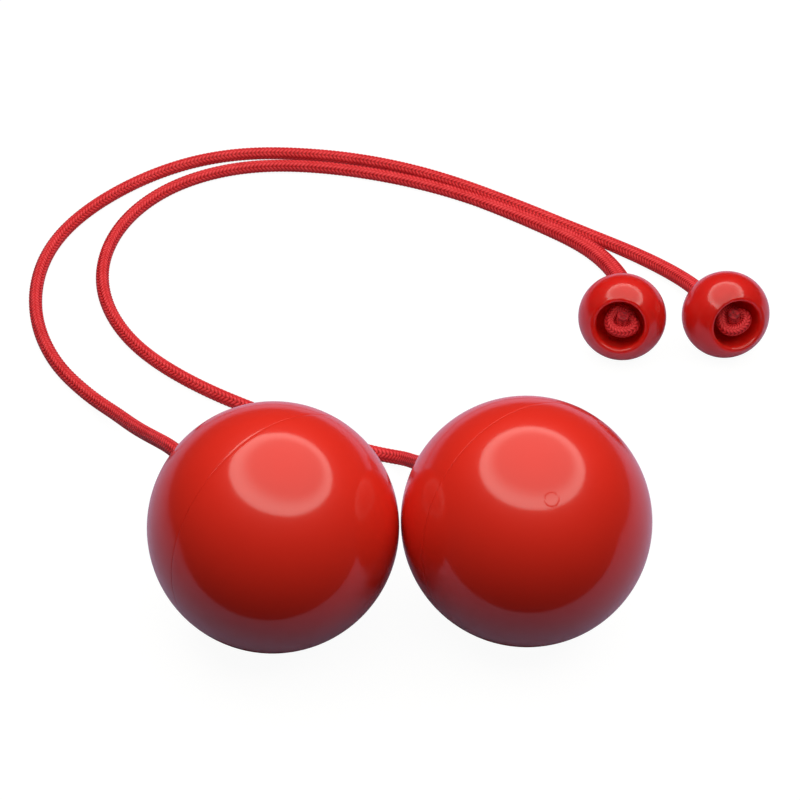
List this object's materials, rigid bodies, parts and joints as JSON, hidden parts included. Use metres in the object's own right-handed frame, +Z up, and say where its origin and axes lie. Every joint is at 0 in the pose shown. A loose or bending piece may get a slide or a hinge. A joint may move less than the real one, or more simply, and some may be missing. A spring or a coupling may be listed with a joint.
{
  "type": "ball-and-cord poi",
  "caption": "Ball-and-cord spinning props: hollow glossy balls on long braided cords, each cord knotted in the recess of a small round handle bead.",
  "frame": {"origin": "on the surface the props lie on, under the middle of the box round the balls and handle beads", "axes": "+Z up; +X from the left ball to the right ball, along the longest side of that box; +Y from the balls towards the handle beads"},
  "size_m": [0.2808, 0.283, 0.0799],
  "materials": {
    "ball": "high gloss moulded shell",
    "handle": "high gloss",
    "cord": "braided, with a slight sheen",
    "washer": "natural nylon"
  },
  "bodies": {
    "left_line": {"left_cord": "cord", "left_ball_knot": "cord", "left_cord_washer": "washer"},
    "left_ball": {"left_ball_front_shell": "ball", "left_ball_rear_shell": "ball"},
    "left_knot": {"left_handle_knot": "cord"},
    "left_handle": {"left_handle_bead": "handle"},
    "right_line": {"right_cord": "cord", "right_ball_knot": "cord", "right_cord_washer": "washer"},
    "right_ball": {"right_ball_front_shell": "ball", "right_ball_rear_shell": "ball"},
    "right_knot": {"right_handle_knot": "cord"},
    "right_handle": {"right_handle_bead": "handle"}
  },
  "joints": [
    {"name": "left_ball_swivel", "type": "hinge", "parent": "left_line", "child": "left_ball", "pos_m": [-0.0688, -0.05055, 0.04], "axis": [-0.6648, 0.7384, -0.1132], "continuous": true},
    {"name": "left_handle_spin", "type": "hinge", "parent": "left_line", "child": "left_knot", "pos_m": [0.0926, 0.0754, 0.01613], "axis": [0.2361, -0.9, 0.3665], "continuous": true},
    {"name": "left_handle_slide", "type": "slide", "parent": "left_knot", "child": "left_handle", "axis": [-0.2361, 0.9, -0.3665], "range_m": [0, 0.004]},
    {"name": "right_ball_swivel", "type": "hinge", "parent": "right_line", "child": "right_ball", "pos_m": [0.0116, -0.04805, 0.04], "axis": [-0.5509, 0.7752, -0.309], "continuous": true},
    {"name": "right_handle_spin", "type": "hinge", "parent": "right_line", "child": "right_knot", "pos_m": [0.054, 0.0742, 0.01612], "axis": [-0.1814, -0.8917, 0.4147], "continuous": true},
    {"name": "right_handle_slide", "type": "slide", "parent": "right_knot", "child": "right_handle", "axis": [0.1814, 0.8917, -0.4147], "range_m": [0, 0.004]},
    {"name": "right_prop_lift", "type": "slide", "parent": "left_line", "child": "right_line", "axis": [0, 0, 1], "range_m": [0, 0.12]}
  ]
}
